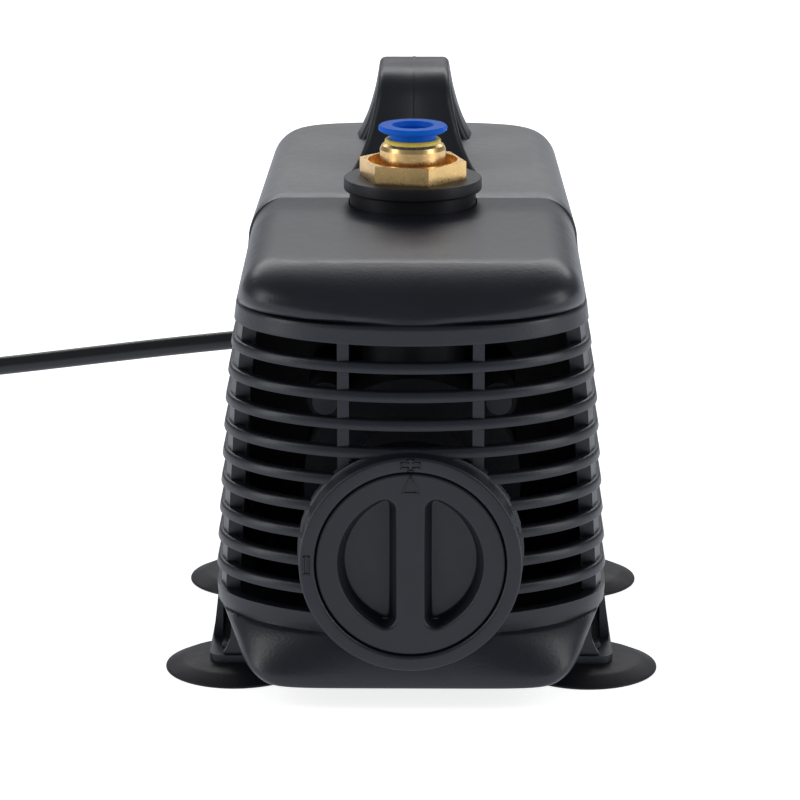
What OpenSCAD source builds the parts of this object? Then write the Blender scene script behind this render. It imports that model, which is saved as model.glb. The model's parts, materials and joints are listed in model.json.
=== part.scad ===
// Submersible water pump for an aquarium or a fountain, with a strainer cage,
// a potted synchronous motor, a carry handle, suction feet and a push-in hose fitting.
// Lengths are in millimetres and angles in degrees. +Z is up and the strainer faces -Y.
// The origin lies on the floor, straight below the axis of the outlet.

/* [Body] */
// Height of the flat top deck above the floor
deck_z = 92; // [91:0.5:93]
// Half width of the body at its widest height
belly_half_w = 41.6; // [41.3:0.1:41.8]
// Half width of the body just under the rounded top
shoulder_half_w = 36.8; // [36.6:0.1:37.1]
// Distance from the outlet axis to the nose of the strainer
nose_len = 75; // [74.5:0.5:76]
// Distance from the outlet axis to the back of the motor shell
tail_len = 98; // [97.5:0.5:99]
// Thickness of the moulded walls
wall = 2.5; // [2.2:0.1:2.7]

/* [Strainer] */
// Number of slot rows
slot_rows = 10; // [6:1:10]
// Height of one slot
slot_h = 3.75; // [3:0.25:4]
// Distance from one slot to the next
slot_pitch = 6.03; // [5.8:0.01:6.05]
// Width of the upright posts behind the ribs
post_w = 2.4; // [2:0.2:3]

/* [Flow knob] */
// Height of the knob and motor axis above the floor
axis_z = 32.5; // [32:0.25:33]
// Outer radius of the ring around the knob
ring_r = 23; // [22.5:0.25:23.5]
// Radius of the knob
knob_r = 19.6; // [19:0.1:19.7]
// Width of the finger bar across the knob
bar_w = 5.4; // [5:0.2:6]
// Depth of the two finger recesses
recess_depth = 5; // [3:0.5:5]

/* [Outlet] */
// Radius of the outlet neck where it leaves the deck
neck_r = 14; // [13.5:0.25:14]
// Radius of the flange on the neck
flange_r = 15.3; // [14.8:0.1:15.6]
// Width across flats of the brass hexagon
hex_af = 21; // [21:1:22]
// Diameter of the hose that the fitting takes
hose_d = 8.2; // [8.1:0.05:8.3]
// Distance that the release collar travels when it is pressed
collar_travel = 1.5; // [1:0.1:1.5]

/* [Handle] */
// Height of the top of the handle above the floor
handle_top_z = 112.9; // [112:0.1:113.4]
// Half width of the handle at its top
handle_half_w = 8.3; // [7.9:0.1:8.6]

/* [Feet] */
// Radius of a suction cup
cup_r = 15.3; // [14.5:0.1:15.5]
// Distance from the middle to a front suction cup
front_cup_x = 37.6; // [37.2:0.1:37.8]
// Distance from the middle to a rear suction cup
rear_cup_x = 36.2; // [35.9:0.1:36.6]
// Distance from the outlet axis forward to the front cups
front_cup_y = 48; // [47:0.5:49]
// Distance from the outlet axis back to the rear cups
rear_cup_y = 14; // [13:0.5:14.5]

/* [Motor] */
// Radius of the ceramic shaft
shaft_r = 2; // [1.8:0.1:2.2]
// Radius of the magnet
magnet_r = 12.6; // [12:0.1:12.8]
// Length of the lamination stack
stack_len = 30; // [26:1:32]
// Number of impeller vanes
vane_count = 6; // [4:1:8]

/* [Cable] */
// Diameter of the power cable
cable_d = 4.7; // [4.4:0.1:4.8]
// Angle at which the cable falls away to the side
cable_dip = 6.4; // [4:0.2:8]
// Length of the straight run of cable beside the pump
cable_run = 119; // [80:1:124]

/* [Hidden] */
$fn = 96;

// Clearances: a gap that lets parts slide, and the thin visible gap of a joint line
running_gap = 0.05;
seam_gap = 0.15;

// Body heights and the plane where the cage meets the motor shell
shell_floor_z = 4.6;
cage_floor_z = 4.7;
crease_z = 15.6;
belly_z = 21;
shoulder_z = 81.7;
seam_y = 5;
side_ledge = 0.4;
front_ledge = 1.4;
ledge_rise = 0.3;
dome_rise = deck_z - shoulder_z;
side_round = 8;
front_round = 13.5;
front_roll_end = 66;
nose_depth = 26.5;
deck_nose_depth = 12;
nose_power = 2;
deck_nose_power = 4.5;
nose_steps = 28;
tail_round = 1.8;
tail_taper = 0.95;
tail_depth = 12;
tail_power = 3;
tail_steps = 24;

// Each level of the cage is [height, half width, length, depth of the nose, power of its curve],
// where a power of 2 is an ellipse and a higher one is closer to a rectangle
chin_levels = [
    [cage_floor_z, belly_half_w - 12.1, nose_len + 0.9, 13, 7],
    [cage_floor_z + 0.3, belly_half_w - 10.7, nose_len + 1.5, 13.5, 6.5],
    [cage_floor_z + 1.3, belly_half_w - 8.9, nose_len + 1.9, 14.5, 5.6],
    [cage_floor_z + 2.8, belly_half_w - 7.1, nose_len + 2, 16, 4.8],
    [cage_floor_z + 4.8, belly_half_w - 5.5, nose_len + 1.8, 18.5, 4],
    [cage_floor_z + 7.3, belly_half_w - 4, nose_len + 1.4, 21.5, 3.2],
    [crease_z, belly_half_w - 1.4, nose_len + 0.7, nose_depth - 0.5, nose_power + 0.3],
    [crease_z + 0.6, belly_half_w - 0.8, nose_len + 0.4, nose_depth, nose_power],
    [crease_z + 1.2, belly_half_w - 0.4, nose_len + 0.1, nose_depth, nose_power]
];
side_levels = [
    [belly_z, belly_half_w, nose_len, nose_depth, nose_power],
    [42, belly_half_w - 1.2, nose_len, nose_depth, nose_power],
    [63, belly_half_w - 2.5, nose_len, nose_depth, nose_power],
    [shoulder_z, shoulder_half_w, nose_len, nose_depth, nose_power]
];
// Above the ledge the sides roll softly into the deck, and the front meets it at a firm edge
dome_levels = [
    for (a = [0:15:90])
        let (
            rise = sin(a),
            side_in = 1 - cos(a),
            t = asin(rise * sin(front_roll_end)),
            front_in = (1 - cos(t)) / (1 - cos(front_roll_end))
        )
        [
            shoulder_z + ledge_rise + (dome_rise - ledge_rise) * rise,
            shoulder_half_w - side_ledge - side_round * side_in,
            nose_len - front_ledge - front_round * front_in,
            nose_depth + (deck_nose_depth - nose_depth) * rise,
            nose_power + (deck_nose_power - nose_power) * sqrt(rise)
        ]
];
cage_levels = concat(chin_levels, side_levels, dome_levels);

// Each level of the motor shell is [height, half width, length]
shell_levels = concat(
    [
        [shell_floor_z, belly_half_w - 12.1, tail_len - 4],
        [shell_floor_z + 0.9, belly_half_w - 9.6, tail_len - 2],
        [shell_floor_z + 3, belly_half_w - 6.9, tail_len - 1],
        [shell_floor_z + 9, belly_half_w - 3.4, tail_len],
        [belly_z, belly_half_w - 0.8, tail_len],
        [42, belly_half_w - 1.5, tail_len],
        [63, belly_half_w - 2.7, tail_len]
    ],
    [
        for (t = [0:18:90])
            let (draw_in = 1 - cos(t))
            [
                shoulder_z + 1 + (dome_rise - 1) * sin(t),
                shoulder_half_w - (side_ledge + side_round) * draw_in,
                tail_len - tail_round * draw_in
            ]
    ]
);

// Strainer and knob
slot_top_z = 77.9;
slot_rear_y = -12;
ring_front_y = -79;
ring_floor_y = -66.5;
ring_floor_t = 2.5;
knob_front_y = -78.5;
knob_back_y = ring_floor_y - ring_floor_t - 0.1;
stem_r = 3;
stem_front_y = knob_front_y + recess_depth + 0.2;
mark_h = 0.35;

// Pump chamber
cover_front_y = -19;
cover_t = 3;
chamber_front_y = cover_front_y + cover_t;
chamber_floor_y = 8;
chamber_back_y = 15;
volute_r = 24;
chamber_r = 21;
screw_circle_r = 27;
screw_r = 1.48;
screw_hole_r = 1.5;
pipe_r = 12;
flow_r = 8.5;
thread_r = 10.4;
thread_bore_r = 10.45;
neck_top_z = deck_z + 3.15;
flange_top_z = deck_z + 5.9;
neck_gap = 0.3;
window_in_r = 6;
window_out_r = 13;
window_angle = 84;

// Motor
bulkhead_back_y = chamber_back_y + 3;
well_in_r = 13.5;
well_out_r = 15.2;
well_end_y = 76;
bush_r = 4;
bush_len = 5;
front_bush_y = -17.5;
rear_bush_y = 70;
sleeve_r = 4;
magnet_front_y = 30;
magnet_back_y = 69;
stack_mid_y = 51;
leg_x = 19;
leg_half_w = 7;
pole_half_h = 18.5;
yoke_z = 74;
yoke_top_z = 86;
bobbin_low_z = 53;
bobbin_top_z = 73;
bobbin_wall = 1.2;
potting_floor_z = 12.5;
potting_back_y = 80;

// Fitting, measured up from the top of the flange
hex_top_z = flange_top_z + 3.9;
turret_top_z = flange_top_z + 7.7;
turret_r = 7.3;
cup_recess_r = 9.9;
cavity_r = 6;
collar_r = 5.15;
trim_r = 6.2;
trim_top_z = turret_top_z + 0.9;
collar_flange_r = 7.6;
collar_top_z = trim_top_z + collar_travel + 1.5;
socket_r = hose_d / 2;

// Feet
plate_low_z = 2.9;
plate_top_z = 4.5;
plate_half_w = 43.2;
tab_reach = 6.5;
skirt_front_y = -42;
skirt_top_z = 14.3;
stud_r = 2.5;
seat_len = 18;
strip_front_y = -8;
strip_rear_y = 82;
strip_half_w = 8;
base_screw_x = 15;
base_screw_y = 27;

// Handle and cable
handle_front_y = 34;
handle_rear_y = 83.5;
handle_screw_y = [41.5, 77];
cable_r = cable_d / 2;
cable_x = -15;
cable_z = 35;
bend_r = 12;
bend_y = 104;
gland_seat = 0.9;
pad_h = 1.2;

// Closed solid through a list of rings that all have the same number of points
module loft(rings) {
    n = len(rings[0]);
    last = len(rings) - 1;
    sides = [
        for (k = [0:last - 1], i = [0:n - 1])
            let (a = k * n + i, b = k * n + (i + 1) % n)
            each [[a, a + n, b + n], [a, b + n, b]]
    ];
    low_cap = [for (i = [0:n - 1]) i];
    top_cap = [for (i = [n - 1:-1:0]) last * n + i];
    polyhedron(points = [for (ring = rings) each ring], faces = concat([low_cap], sides, [top_cap]));
}

// The levels of a body moved inwards by a distance, cut off at its floor and at its deck
function inset(levels, d) =
    let (low = levels[0][0] + d, high = deck_z - d, last = len(levels) - 1)
    [
        for (i = [0:last])
            if ((i == last || levels[i + 1][0] > low) && (i == 0 || levels[i - 1][0] < high))
                concat(
                    [max(low, min(high, levels[i][0])), levels[i][1] - d, levels[i][2] - d],
                    [for (k = [3:1:len(levels[i]) - 1]) levels[i][k]]
                )
    ];

function signed_pow(v, p) = sign(v) * pow(abs(v), p);

// Outline of the cage at one level: a rounded nose and straight sides
function cage_ring(level, rear) = concat(
    [
        for (i = [0:nose_steps])
            let (a = 180 + 180 * i / nose_steps, p = 2 / level[4])
            [
                level[1] * signed_pow(cos(a), p),
                level[3] * (1 + signed_pow(sin(a), p)) - level[2],
                level[0]
            ]
    ],
    [[level[1], rear, level[0]], [-level[1], rear, level[0]]]
);

// Outline of the motor shell at one level: tapered sides and a rounded tail
function shell_ring(level, front) = concat(
    [[-level[1], front, level[0]], [level[1], front, level[0]]],
    [
        for (i = [0:tail_steps])
            let (a = 180 * i / tail_steps, p = 2 / tail_power)
            [
                tail_taper * level[1] * signed_pow(cos(a), p),
                level[2] - tail_depth * (1 - signed_pow(sin(a), p)),
                level[0]
            ]
    ]
);

module cage_solid(d, rear) {
    loft([for (level = inset(cage_levels, d)) cage_ring(level, rear)]);
}

module shell_solid(d, front) {
    loft([for (level = inset(shell_levels, d)) shell_ring(level, front)]);
}

// Cross section of the motor shell, moved inwards
module shell_section(d) {
    levels = inset(shell_levels, d);
    n = len(levels);
    polygon(concat(
        [for (level = levels) [level[1], level[0]]],
        [for (i = [n - 1:-1:0]) [-levels[i][1], levels[i][0]]]
    ));
}

// Cylinder along Y
module y_rod(r, y0, y1, x = 0, z = axis_z) {
    translate([x, y0, z])
        rotate([-90, 0, 0])
            cylinder(r = r, h = y1 - y0);
}

// Ring-shaped tube along Y
module y_rod_ring(r_in, r_out, y0, y1) {
    difference() {
        y_rod(r_out, y0, y1);
        y_rod(r_in, y0 - 1, y1 + 1);
    }
}

// Cylinder along Z
module z_rod(r, z0, z1, x = 0, y = 0) {
    translate([x, y, z0])
        cylinder(r = r, h = z1 - z0);
}

// Child outline drawn in x and z, given a thickness along Y
module along_y(y0, y1) {
    translate([0, y1, 0])
        rotate([90, 0, 0])
            linear_extrude(y1 - y0)
                children();
}

// Child outline drawn in y and z, given a width along X
module along_x(x0, x1) {
    translate([x0, 0, 0])
        rotate([90, 0, 90])
            linear_extrude(x1 - x0)
                children();
}

// Rectangle with round corners
module round_rect(half_w, half_l, r) {
    square([2 * half_w, 2 * (half_l - r)], center = true);
    square([2 * (half_w - r), 2 * half_l], center = true);
    for (sx = [-1, 1], sy = [-1, 1]) {
        translate([sx * (half_w - r), sy * (half_l - r)])
            circle(r = r);
    }
}

// Puts the child on each volute screw axis
module at_volute_screws() {
    for (a = [45:90:315]) {
        translate([screw_circle_r * cos(a), 0, axis_z + screw_circle_r * sin(a)])
            children();
    }
}

module pan_screw(z0, z1, head_h) {
    z_rod(2.8, z0 - head_h, z0);
    z_rod(screw_r, z0, z1);
}

module rear_shell() {
    color("dimgray")
    difference() {
        union() {
            difference() {
                shell_solid(0, seam_y);
                shell_solid(wall, seam_y - 1);
            }
            for (x = [-base_screw_x, base_screw_x]) {
                z_rod(3.5, shell_floor_z + wall - 0.5, potting_floor_z - 0.5, x, base_screw_y);
            }
            y_rod(8.5, tail_len - wall - pad_h, tail_len - 1.1, cable_x, cable_z);
        }
        z_rod(neck_r + neck_gap, shoulder_z, deck_z + 1);
        y_rod(5, tail_len - 8, tail_len + 1, cable_x, cable_z);
        y_rod(7.3, tail_len - gland_seat, tail_len + 1, cable_x, cable_z);
        for (y = handle_screw_y) {
            z_rod(screw_hole_r, deck_z - wall - 1, deck_z + 1, 0, y);
        }
        for (x = [-base_screw_x, base_screw_x]) {
            z_rod(screw_hole_r, shell_floor_z - 1, potting_floor_z - 1, x, base_screw_y);
        }
    }
}

// Side view of the handle: an arch on two leaning legs
module handle_side_view() {
    difference() {
        polygon([
            [handle_front_y, deck_z], [39.5, 98], [43.5, 108.5], [45, handle_top_z - 1.5],
            [47.5, handle_top_z], [74.5, handle_top_z], [77, handle_top_z - 1.5], [78.5, 105],
            [80.5, 97], [handle_rear_y, deck_z]
        ]);
        polygon([
            [46, deck_z - 1], [47.5, 97], [50, 104.5], [53, 107.2], [68, 107.2], [71, 104.5],
            [72.5, 97], [73, deck_z - 1]
        ]);
    }
}

// Front view of the handle: its legs flare towards the deck
module handle_front_view() {
    half = [
        [14.2, deck_z], [12, 95.5], [10.4, 99.5], [9.3, 104], [handle_half_w, 109],
        [handle_half_w, handle_top_z - 1.2], [handle_half_w - 1.2, handle_top_z]
    ];
    n = len(half);
    polygon(concat(half, [for (i = [n - 1:-1:0]) [-half[i][0], half[i][1]]]));
}

module carry_handle() {
    color("#232528")
    difference() {
        intersection() {
            along_x(-15, 15) handle_side_view();
            along_y(handle_front_y - 1, handle_rear_y + 1) handle_front_view();
        }
        for (y = handle_screw_y) {
            z_rod(screw_hole_r, deck_z - 1, deck_z + 5.2, 0, y);
        }
    }
}

module handle_screws() {
    color("silver")
    for (y = handle_screw_y) {
        translate([0, y, 0]) pan_screw(deck_z - wall, deck_z + 5, 1.8);
    }
}

// Upright web on a tab, leaning towards the side of the body
module gusset(y) {
    along_y(y - 1, y + 1)
        polygon([
            [33.4, plate_top_z - 0.1], [40.4, plate_top_z - 0.1], [39.6, 5.6], [38.8, 7.6],
            [38.5, 9.5], [38.4, 11.8], [38, 11.8], [36.8, 9.5], [35.2, 7.5], [33.5, 6]
        ]);
}

module base_frame() {
    mid_y = (rear_cup_y - front_cup_y) / 2;
    color("#1f2124")
    difference() {
        union() {
            translate([0, mid_y, plate_low_z])
                linear_extrude(plate_top_z - plate_low_z)
                    round_rect(plate_half_w, (rear_cup_y + front_cup_y) / 2 + tab_reach, 3);
            translate([-24, rear_cup_y, plate_low_z])
                cube([48, seat_len, shell_floor_z - plate_low_z]);
            for (side = [0, 1]) {
                mirror([side, 0, 0]) {
                    along_y(skirt_front_y, rear_cup_y - tab_reach + 1)
                        polygon([
                            [40.9, plate_low_z], [42.4, plate_low_z], [42.9, plate_top_z + 0.5],
                            [41.8, skirt_top_z], [40.7, skirt_top_z]
                        ]);
                    for (y = [-front_cup_y - 4.5, rear_cup_y - 4.5]) {
                        gusset(y);
                    }
                }
            }
        }
        for (side = [-1, 1], cup = [[front_cup_x, -front_cup_y], [rear_cup_x, rear_cup_y]]) {
            z_rod(stud_r + running_gap, plate_low_z - 1, plate_top_z + 1, side * cup[0], cup[1]);
        }
        for (x = [-base_screw_x, base_screw_x]) {
            z_rod(screw_hole_r, plate_low_z - 1, shell_floor_z + 1, x, base_screw_y);
        }
    }
}

module base_screws() {
    color("silver")
    for (x = [-base_screw_x, base_screw_x]) {
        translate([x, base_screw_y, 0]) pan_screw(plate_low_z, potting_floor_z - 1.2, 1.6);
    }
}

// Suction cup with a hollow underside and a button that snaps through its tab
module suction_cup(x, y) {
    color("#2b2c2e")
    translate([x, y, 0])
        rotate_extrude()
            polygon([
                [0, 1.7], [6, 1.5], [11, 1], [cup_r - 1.2, 0], [cup_r, 0], [cup_r, 0.5],
                [11.5, 2.3], [7, plate_low_z], [stud_r, plate_low_z], [stud_r, plate_top_z],
                [3.3, plate_top_z], [3, plate_top_z + 1.1], [0, plate_top_z + 1.4]
            ]);
}

// Rubber strip along the keel that carries the weight of the motor behind the cups
module rest_strip() {
    mid_y = (strip_front_y + strip_rear_y) / 2;
    step_y = rear_cup_y + seat_len + 0.5;
    color("#2b2c2e")
    difference() {
        translate([0, mid_y, 0])
            linear_extrude(shell_floor_z)
                round_rect(strip_half_w, (strip_rear_y - strip_front_y) / 2, 3);
        translate([-strip_half_w - 1, strip_front_y - 1, plate_low_z])
            cube([2 * strip_half_w + 2, step_y - strip_front_y + 1, shell_floor_z]);
    }
}

// Bulkhead that closes the motor space, with the well that the rotor spins in
module motor_case() {
    color("#303236")
    difference() {
        union() {
            along_y(chamber_back_y, bulkhead_back_y) shell_section(wall + 0.5);
            y_rod(well_out_r, chamber_back_y + 1, well_end_y);
            at_volute_screws() y_rod(3.2, bulkhead_back_y - 1, bulkhead_back_y + 5, 0, 0);
        }
        y_rod(well_in_r, chamber_back_y - 1, rear_bush_y);
        y_rod(bush_r, rear_bush_y - 1, rear_bush_y + bush_len);
        at_volute_screws() y_rod(screw_hole_r, chamber_back_y - 1, bulkhead_back_y + 3.5, 0, 0);
    }
}

// Upright limbs, a yoke across the top and pole faces round the rotor well
module stator_core() {
    half_w = leg_x + leg_half_w;
    color("#8a8d92")
    along_y(stack_mid_y - stack_len / 2, stack_mid_y + stack_len / 2)
        difference() {
            union() {
                translate([-half_w, axis_z - pole_half_h])
                    square([2 * half_w, 2 * pole_half_h]);
                translate([-half_w, yoke_z])
                    square([2 * half_w, yoke_top_z - yoke_z]);
                for (x = [-leg_x, leg_x]) {
                    translate([x - leg_half_w, axis_z])
                        square([2 * leg_half_w, yoke_top_z - axis_z]);
                }
            }
            translate([0, axis_z]) circle(r = well_out_r);
            translate([-3, axis_z - pole_half_h - 1]) square([6, 2 * pole_half_h + 2]);
        }
}

// Square tube that slips over one limb, with a margin all round
module limb_sleeve(margin, z0, z1) {
    translate([0, 0, z0])
        linear_extrude(z1 - z0)
            square([2 * (leg_half_w + margin), stack_len + 2 * margin], center = true);
}

module coil_bobbins() {
    slip = 0.1;
    color("ivory")
    for (x = [-leg_x, leg_x]) {
        translate([x, stack_mid_y, 0])
            difference() {
                union() {
                    limb_sleeve(slip + bobbin_wall, bobbin_low_z, bobbin_top_z);
                    for (z = [bobbin_low_z, bobbin_top_z - bobbin_wall]) {
                        translate([0, 0, z])
                            linear_extrude(bobbin_wall)
                                round_rect(13.8, 22.8, 2);
                    }
                }
                limb_sleeve(slip, bobbin_low_z - 1, bobbin_top_z + 1);
            }
    }
}

module coil_windings() {
    low_z = bobbin_low_z + bobbin_wall;
    top_z = bobbin_top_z - bobbin_wall;
    color("#b5651d")
    for (x = [-leg_x, leg_x]) {
        translate([x, stack_mid_y, 0])
            difference() {
                translate([0, 0, low_z])
                    linear_extrude(top_z - low_z)
                        round_rect(13.2, 22.2, 5);
                limb_sleeve(0.1 + bobbin_wall, low_z - 1, top_z + 1);
            }
    }
}

// Resin around the windings, cast against the bulkhead
module potting_compound() {
    color("#3a3432")
    difference() {
        along_y(bulkhead_back_y, potting_back_y)
            intersection() {
                shell_section(wall + 2.1);
                translate([-50, potting_floor_z]) square([100, deck_z - 5 - potting_floor_z]);
            }
        stator_core();
        y_rod(well_out_r, bulkhead_back_y - 1, well_end_y);
        at_volute_screws() y_rod(3.2, bulkhead_back_y - 1, bulkhead_back_y + 5, 0, 0);
        for (x = [-leg_x, leg_x]) {
            translate([x, stack_mid_y, 0]) {
                translate([0, 0, bobbin_low_z])
                    linear_extrude(bobbin_top_z - bobbin_low_z)
                        round_rect(13.8, 22.8, 2);
                limb_sleeve(0.1, bobbin_low_z - 1, bobbin_top_z + 0.5);
            }
        }
        y_rod(cable_r, well_end_y, potting_back_y + 1, cable_x, cable_z);
    }
}

module rotor_shaft() {
    color("white")
    y_rod(shaft_r, front_bush_y + 1.5, rear_bush_y + 3);
}

// Rubber bush with a blind bore for the shaft
module shaft_bush(y0, y1, bore_y0, bore_y1) {
    color("#26272a")
    difference() {
        y_rod(bush_r, y0, y1);
        y_rod(shaft_r, bore_y0, bore_y1);
    }
}

module rotor_magnet() {
    color("#45474d")
    difference() {
        y_rod(magnet_r, magnet_front_y, magnet_back_y);
        y_rod(sleeve_r, magnet_front_y - 1, magnet_back_y + 1);
    }
}

module rotor_sleeve() {
    color("white")
    difference() {
        y_rod(sleeve_r, front_bush_y + bush_len + 0.3, rear_bush_y - 0.3);
        y_rod(shaft_r + running_gap, front_bush_y, rear_bush_y + 1);
    }
}

// Straight vanes, so that it pumps whichever way the motor starts
module impeller() {
    hub_r = 6;
    tip_r = 17;
    color("white")
    difference() {
        union() {
            y_rod(hub_r, -12, 4);
            y_rod(tip_r + 0.5, 2, 4);
            translate([0, 0, axis_z])
                for (i = [0:vane_count - 1]) {
                    rotate([0, 360 * i / vane_count, 0])
                        translate([hub_r - 1, -9, -0.8])
                            cube([tip_r - hub_r + 1, 11.5, 1.6]);
                }
        }
        y_rod(sleeve_r, -13, 5);
    }
}

module volute_housing() {
    color("#2d2f33")
    difference() {
        union() {
            y_rod(volute_r, chamber_front_y, chamber_back_y);
            at_volute_screws() y_rod(4, chamber_front_y, chamber_back_y, 0, 0);
            z_rod(pipe_r, axis_z + 10, deck_z - 6);
            z_rod(neck_r, deck_z - 8, neck_top_z + 0.5);
            z_rod(flange_r, neck_top_z, flange_top_z);
        }
        y_rod(chamber_r, chamber_front_y - 1, chamber_floor_y);
        y_rod(well_in_r, chamber_floor_y - 1, chamber_back_y + 1);
        z_rod(flow_r, axis_z + 15, deck_z);
        z_rod(thread_bore_r, flange_top_z - 13, flange_top_z + 1);
        at_volute_screws() y_rod(screw_hole_r, chamber_front_y - 1, chamber_back_y + 1, 0, 0);
        y_rod_ring(17.9, 20.1, chamber_back_y - 1.7, chamber_back_y + 1);
    }
}

// Two opposite sectors of a ring, the openings of the intake valve
module valve_windows() {
    half = window_angle / 2;
    reach = 2 * window_out_r;
    intersection() {
        difference() {
            circle(r = window_out_r);
            circle(r = window_in_r);
        }
        for (a = [0, 180]) {
            rotate([0, 0, a])
                polygon([
                    [0, 0], [reach * cos(half), -reach * sin(half)], [reach * cos(half), reach * sin(half)]
                ]);
        }
    }
}

module volute_cover() {
    color("#303338")
    difference() {
        union() {
            y_rod(volute_r, cover_front_y, chamber_front_y);
            at_volute_screws() y_rod(4, cover_front_y, chamber_front_y, 0, 0);
            y_rod(window_in_r - 0.5, chamber_front_y - 1, front_bush_y + bush_len);
        }
        y_rod(bush_r, front_bush_y, front_bush_y + bush_len + 1);
        along_y(cover_front_y - 1, chamber_front_y + 1)
            translate([0, axis_z]) valve_windows();
        at_volute_screws() y_rod(screw_hole_r, cover_front_y - 1, chamber_front_y + 1, 0, 0);
    }
}

module volute_seal() {
    color("#202124")
    translate([0, chamber_back_y - 0.85, axis_z])
        rotate([-90, 0, 0])
            rotate_extrude()
                translate([19, 0]) circle(r = 0.85, $fn = 32);
}

module volute_screws() {
    color("silver")
    at_volute_screws() {
        y_rod(2.8, cover_front_y - 2, cover_front_y, 0, 0);
        y_rod(screw_r, cover_front_y, bulkhead_back_y + 3, 0, 0);
    }
}

module fitting_body() {
    color("#c9a24a")
    difference() {
        union() {
            z_rod(thread_r, flange_top_z - 12, flange_top_z + 0.5);
            translate([0, 0, flange_top_z])
                rotate([0, 0, -13])
                    cylinder(r = hex_af / 2 / cos(30), h = hex_top_z - flange_top_z, $fn = 6);
        }
        z_rod(cup_recess_r, hex_top_z - 2.6, hex_top_z + 1);
        z_rod(cavity_r, flange_top_z - 3, hex_top_z + 1);
        z_rod(socket_r, flange_top_z - 8, flange_top_z);
        z_rod(3.2, flange_top_z - 13, flange_top_z);
    }
    color("#c9a24a")
    rotate_extrude()
        polygon([
            [cavity_r, flange_top_z + 0.5], [turret_r, flange_top_z + 0.5],
            [turret_r, turret_top_z - 1.4], [turret_r - 0.4, turret_top_z - 0.5],
            [turret_r - 1, turret_top_z], [trim_r, turret_top_z], [trim_r, turret_top_z - 2],
            [cavity_r, turret_top_z - 2]
        ]);
}

module fitting_trim_ring() {
    color("#e2c542")
    rotate_extrude()
        polygon([
            [collar_r + running_gap, turret_top_z - 2], [trim_r, turret_top_z - 2],
            [trim_r, trim_top_z - 0.3], [trim_r - 0.3, trim_top_z],
            [collar_r + running_gap, trim_top_z]
        ]);
}

module fitting_claw() {
    color("silver")
    translate([0, 0, flange_top_z - 0.7])
        difference() {
            cylinder(r = cavity_r, h = 0.8);
            translate([0, 0, -1]) cylinder(r = socket_r + 0.1, h = 3);
        }
}

module fitting_o_ring() {
    cord_r = (cavity_r - socket_r) / 2;
    color("#202124")
    translate([0, 0, flange_top_z - 3 + cord_r])
        rotate_extrude()
            translate([socket_r + cord_r, 0]) circle(r = cord_r, $fn = 32);
}

module release_collar() {
    low_z = flange_top_z + 2.2;
    color("#1769d8")
    rotate_extrude()
        polygon([
            [socket_r, low_z], [collar_r, low_z], [collar_r, collar_top_z - 1.4],
            [collar_flange_r - 0.5, collar_top_z - 1.4], [collar_flange_r, collar_top_z - 1],
            [collar_flange_r, collar_top_z - 0.3], [collar_flange_r - 0.3, collar_top_z],
            [socket_r + 0.55, collar_top_z], [socket_r, collar_top_z - 1]
        ]);
}

// All the slots as bars that run round the front and the sides, clear of the knob ring
module slot_cutters() {
    difference() {
        for (i = [0:slot_rows - 1]) {
            translate([-60, -90, slot_top_z - slot_h - slot_pitch * i])
                cube([120, 90 + slot_rear_y, slot_h]);
        }
        y_rod(ring_r + 0.6, -95, -50);
    }
}

// Upright posts that hold the ribs from behind
module strainer_posts() {
    low_z = crease_z - 1;
    high_z = shoulder_z + 1;
    difference() {
        intersection() {
            union() {
                for (x = [-13.9, 13.9]) {
                    translate([x - post_w / 2, -80, low_z]) cube([post_w, 34, high_z - low_z]);
                }
                translate([-50, -55.4, low_z]) cube([100, 4.4, high_z - low_z]);
                for (y = [-33, slot_rear_y - 1]) {
                    translate([-50, y - post_w / 2, low_z]) cube([100, post_w, high_z - low_z]);
                }
            }
            cage_solid(0.9, 0);
        }
        cage_solid(4.4, 10);
    }
}

// Outlined signs for more and less flow
module plus_mark() {
    difference() {
        union() {
            square([4.1, 1.4], center = true);
            square([1.4, 2.6], center = true);
        }
        square([3.4, 0.7], center = true);
        square([0.7, 1.9], center = true);
    }
}

module minus_mark() {
    difference() {
        square([1.4, 4.1], center = true);
        square([0.7, 3.4], center = true);
    }
}

module front_cage() {
    ring_mid_r = (ring_r + knob_r) / 2;
    color("#1b1d20")
    difference() {
        union() {
            difference() {
                cage_solid(0, seam_y - seam_gap);
                cage_solid(wall, seam_y + 1);
                slot_cutters();
            }
            strainer_posts();
            y_rod(ring_r, ring_front_y, ring_floor_y);
            along_y(ring_front_y - mark_h, ring_front_y + 0.1)
                translate([0, axis_z + ring_mid_r + 0.1]) plus_mark();
            along_y(ring_front_y - mark_h, ring_front_y + 0.1)
                translate([-ring_mid_r - 0.1, axis_z]) minus_mark();
        }
        y_rod(knob_r + 0.2, ring_front_y - 1, ring_floor_y - ring_floor_t);
        y_rod(stem_r + running_gap, ring_front_y, ring_floor_y + 1);
        z_rod(neck_r + neck_gap, shoulder_z, deck_z + 1);
        translate([-neck_r - neck_gap, 0, shoulder_z])
            cube([2 * (neck_r + neck_gap), 10, deck_z + 1 - shoulder_z]);
    }
}

// D-shaped outline on the right of the finger bar, with round corners
module finger_recess() {
    recess_r = 15.3;
    corner_r = 2.6;
    corner_x = bar_w / 2 + corner_r;
    corner_y = sqrt(pow(recess_r - corner_r, 2) - pow(corner_x, 2));
    intersection() {
        circle(r = recess_r);
        translate([bar_w / 2, -recess_r]) square([recess_r, 2 * recess_r]);
        polygon([
            [0, 0], [2 * corner_x, -2 * corner_y], [2 * recess_r, -2 * corner_y],
            [2 * recess_r, 2 * corner_y], [2 * corner_x, 2 * corner_y]
        ]);
    }
    intersection() {
        circle(r = recess_r);
        translate([bar_w / 2, -corner_y]) square([recess_r, 2 * corner_y]);
    }
    for (side = [-1, 1]) {
        translate([corner_x, side * corner_y]) circle(r = corner_r);
    }
}

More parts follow.
